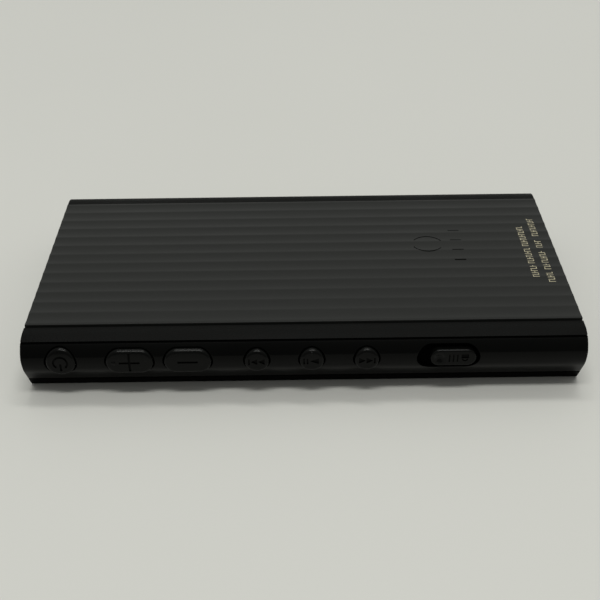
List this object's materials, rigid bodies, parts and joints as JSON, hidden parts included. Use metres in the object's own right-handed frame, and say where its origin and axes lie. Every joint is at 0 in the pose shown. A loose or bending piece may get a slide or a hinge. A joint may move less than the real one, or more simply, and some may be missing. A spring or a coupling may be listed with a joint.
{
  "type": "digital audio player",
  "caption": "Pocket music player lying face down: metal frame with tapered sides, corrugated rear panel, side keys, hold slider, headphone, USB and card ports.",
  "frame": {"origin": "bottom centre of the body, on the outer face of the screen glass, the device lying face down", "axes": "+X along the length towards the port end, -Y towards the side with the keys, +Z from the screen towards the rear panel"},
  "size_m": [0.0984, 0.0569, 0.0118],
  "materials": {
    "frame_black": "anodised black, fine satin",
    "cover_black": "fine grained matte moulding",
    "panel_black": "satin moulding with long shallow waves",
    "bezel_black": "gloss moulding",
    "key_black": "satin-gloss moulding",
    "screen_glass": "polished cover glass",
    "display_dark": "unlit liquid crystal panel",
    "gasket_black": "adhesive foam tape",
    "plate_metal": "cast, tumbled",
    "sheet_steel": "stamped sheet",
    "bright_metal": "nickel plated",
    "gold_metal": "gold plated",
    "board_green": "solder-masked laminate",
    "chip_black": "moulded epoxy",
    "insulator_black": "moulded liquid crystal polymer",
    "flex_amber": "polyimide film",
    "graphite": "graphite sheet",
    "battery_foil": "laminated pouch",
    "foam_grey": "soft foam",
    "lead_red": "insulated wire",
    "connector_white": "moulded nylon",
    "capacitor_orange": "dipped polymer"
  },
  "bodies": {
    "case": {"frame": "frame_black", "strap_post": "sheet_steel", "front_bezel": "bezel_black", "front_glass": "screen_glass", "display_gasket": "gasket_black", "display_module": "display_dark", "display_flex": "flex_amber", "display_connector": "insulator_black", "rear_cover": "cover_black", "panel_adhesive": "gasket_black", "rear_panel": "panel_black", "mid_plate": "plate_metal", "mid_plate_screws": "sheet_steel", "main_board": "board_green", "board_screws": "sheet_steel", "processor": "chip_black", "memory_chip": "chip_black", "power_chip": "chip_black", "audio_chip": "chip_black", "wireless_module": "bright_metal", "audio_oscillators": "bright_metal", "audio_capacitors": "capacitor_orange", "processor_shield": "bright_metal", "audio_shield": "bright_metal", "heat_sheet": "graphite", "wireless_antenna": "flex_amber", "battery": "battery_foil", "battery_pad": "gasket_black", "battery_foam": "foam_grey", "battery_socket": "connector_white", "battery_plug": "connector_white", "battery_leads": "lead_red", "headphone_jack": "insulator_black", "jack_contacts": "gold_metal", "jack_ring": "gold_metal", "usb_shell": "bright_metal", "usb_tongue": "insulator_black", "card_socket": "bright_metal", "key_switches": "insulator_black", "key_flex": "flex_amber", "key_bracket": "sheet_steel", "hold_switch": "bright_metal"},
    "power_key": {"power_button": "key_black", "power_plunger": "connector_white"},
    "volume_up_key": {"volume_up_button": "key_black", "volume_up_plunger": "connector_white"},
    "volume_down_key": {"volume_down_button": "key_black", "volume_down_plunger": "connector_white"},
    "next_key": {"next_button": "key_black", "next_plunger": "connector_white"},
    "play_key": {"play_button": "key_black", "play_plunger": "connector_white"},
    "previous_key": {"previous_button": "key_black", "previous_plunger": "connector_white"},
    "hold_slider": {"hold_knob": "key_black", "hold_lever": "insulator_black"},
    "card_drawer": {"card_tray": "insulator_black", "card_door": "frame_black"}
  },
  "joints": [
    {"name": "power_press", "type": "slide", "parent": "case", "child": "power_key", "axis": [0, 1, 0], "range_m": [0, 0.00025], "stiffness_N_per_m": 2500, "springref_m": -0.0002},
    {"name": "volume_up_press", "type": "slide", "parent": "case", "child": "volume_up_key", "axis": [0, 1, 0], "range_m": [0, 0.00025], "stiffness_N_per_m": 2500, "springref_m": -0.0002},
    {"name": "volume_down_press", "type": "slide", "parent": "case", "child": "volume_down_key", "axis": [0, 1, 0], "range_m": [0, 0.00025], "stiffness_N_per_m": 2500, "springref_m": -0.0002},
    {"name": "next_press", "type": "slide", "parent": "case", "child": "next_key", "axis": [0, 1, 0], "range_m": [0, 0.00025], "stiffness_N_per_m": 2500, "springref_m": -0.0002},
    {"name": "play_press", "type": "slide", "parent": "case", "child": "play_key", "axis": [0, 1, 0], "range_m": [0, 0.00025], "stiffness_N_per_m": 2500, "springref_m": -0.0002},
    {"name": "previous_press", "type": "slide", "parent": "case", "child": "previous_key", "axis": [0, 1, 0], "range_m": [0, 0.00025], "stiffness_N_per_m": 2500, "springref_m": -0.0002},
    {"name": "hold_slide", "type": "slide", "parent": "case", "child": "hold_slider", "axis": [-1, 0, 0], "range_m": [0, 0.002]},
    {"name": "card_eject", "type": "slide", "parent": "case", "child": "card_drawer", "axis": [1, 0, 0], "range_m": [0, 0.0175]}
  ]
}
